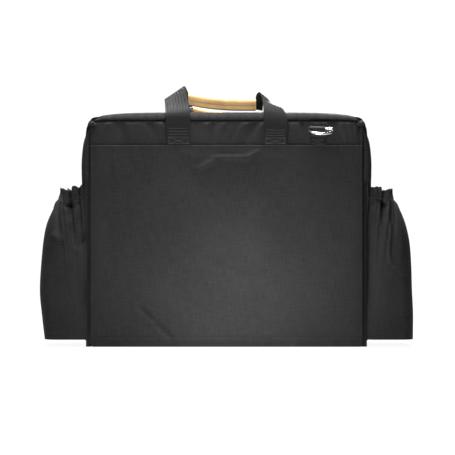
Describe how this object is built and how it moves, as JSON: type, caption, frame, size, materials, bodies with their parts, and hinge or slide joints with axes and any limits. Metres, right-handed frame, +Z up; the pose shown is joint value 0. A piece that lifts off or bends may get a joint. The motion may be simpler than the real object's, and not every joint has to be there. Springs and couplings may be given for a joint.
{
  "type": "soft equipment carrying case",
  "caption": "Padded black nylon carrying case for a portable field recorder, with leather-wrapped web handles, side pouches, slip pocket and a zipped cover.",
  "frame": {"origin": "middle of the base, on the surface that the case stands on", "axes": "+Z up; +X across the case, to the right when the slip pocket faces you; +Y towards the zipped cover"},
  "size_m": [0.61, 0.2142, 0.4173],
  "materials": {
    "cloth": "black textured woven nylon over foam",
    "webbing": "black ribbed nylon webbing",
    "lining": "charcoal brushed loop lining",
    "board": "black polyethylene sheet",
    "grip_leather": "pale tan napped leather",
    "ring_chrome": "bright nickel-chrome wire",
    "zip_tape": "black woven zip tape",
    "zip_coil": "black moulded coil",
    "zip_metal": "black enamelled zinc",
    "hook_tape": "black hook and loop tape",
    "elastic": "black braided elastic"
  },
  "bodies": {
    "case": {"back_panel": "cloth", "back_stiffener": "board", "back_lining": "lining", "top_gusset": "cloth", "left_gusset": "cloth", "right_gusset": "cloth", "base_panel": "cloth", "base_board": "board", "gusset_lining": "lining", "rear_pocket": "cloth", "left_pouch": "cloth", "right_pouch": "cloth", "left_pouch_elastic": "elastic", "right_pouch_elastic": "elastic", "rear_strap_left": "webbing", "rear_strap_right": "webbing", "rear_ring_tab": "webbing", "zip_tape_rear": "zip_tape", "zip_teeth_rear": "zip_coil", "hinge_strip_rear": "cloth"},
    "rear_handle": {"rear_handle_web": "webbing", "rear_grip": "grip_leather"},
    "rear_ring": {"rear_d_ring": "ring_chrome"},
    "left_slider": {"left_zip_slider": "zip_metal"},
    "right_slider": {"right_zip_slider": "zip_metal"},
    "left_pull": {"left_zip_pull": "zip_metal"},
    "right_pull": {"right_zip_pull": "zip_metal"},
    "divider": {"divider": "lining", "divider_hook_strips": "hook_tape"},
    "cover": {"front_panel": "cloth", "front_stiffener": "board", "front_lining": "lining", "cover_top_rim": "cloth", "cover_left_rim": "cloth", "cover_right_rim": "cloth", "cover_base_rim": "cloth", "zip_tape_front": "zip_tape", "zip_teeth_front": "zip_coil", "hinge_strip_front": "cloth", "front_pocket": "cloth", "front_pocket_loop": "hook_tape", "front_flap_tack": "cloth", "front_strap_left": "webbing", "front_strap_right": "webbing", "front_ring_tab": "webbing"},
    "pocket_flap": {"pocket_flap": "cloth", "flap_hook": "hook_tape"},
    "front_handle": {"front_handle_web": "webbing", "front_grip": "grip_leather"},
    "front_ring": {"front_d_ring": "ring_chrome"}
  },
  "joints": [
    {"name": "cover_open", "type": "hinge", "parent": "case", "child": "cover", "pos_m": [0, 0.034, 0], "axis": [-1, 0, 0], "range_deg": [0, 120]},
    {"name": "rear_handle_swing", "type": "hinge", "parent": "case", "child": "rear_handle", "pos_m": [0, -0.0764, 0.365], "axis": [1, 0, 0], "range_deg": [0, 150]},
    {"name": "front_handle_swing", "type": "hinge", "parent": "cover", "child": "front_handle", "pos_m": [0, 0.0764, 0.365], "axis": [-1, 0, 0], "range_deg": [-12, 110]},
    {"name": "rear_ring_swing", "type": "hinge", "parent": "case", "child": "rear_ring", "pos_m": [0.15, -0.0785, 0.3483], "axis": [-1, 0, 0], "range_deg": [-45, 105]},
    {"name": "front_ring_swing", "type": "hinge", "parent": "cover", "child": "front_ring", "pos_m": [-0.15, 0.0785, 0.3483], "axis": [1, 0, 0], "range_deg": [-45, 105]},
    {"name": "left_zip_slide", "type": "slide", "parent": "case", "child": "left_slider", "axis": [-1, 0, 0], "range_m": [0, 0.16]},
    {"name": "right_zip_slide", "type": "slide", "parent": "case", "child": "right_slider", "axis": [1, 0, 0], "range_m": [0, 0.16]},
    {"name": "left_pull_flip", "type": "hinge", "parent": "left_slider", "child": "left_pull", "pos_m": [-0.012, 0.034, 0.381], "axis": [0, 1, 0], "range_deg": [0, 100]},
    {"name": "right_pull_flip", "type": "hinge", "parent": "right_slider", "child": "right_pull", "pos_m": [0.012, 0.034, 0.381], "axis": [0, -1, 0], "range_deg": [0, 100]},
    {"name": "divider_slide", "type": "slide", "parent": "case", "child": "divider", "axis": [1, 0, 0], "range_m": [-0.08, 0]},
    {"name": "flap_open", "type": "hinge", "parent": "cover", "child": "pocket_flap", "pos_m": [0, 0.0762, 0.286], "axis": [1, 0, 0], "range_deg": [0, 100]}
  ]
}
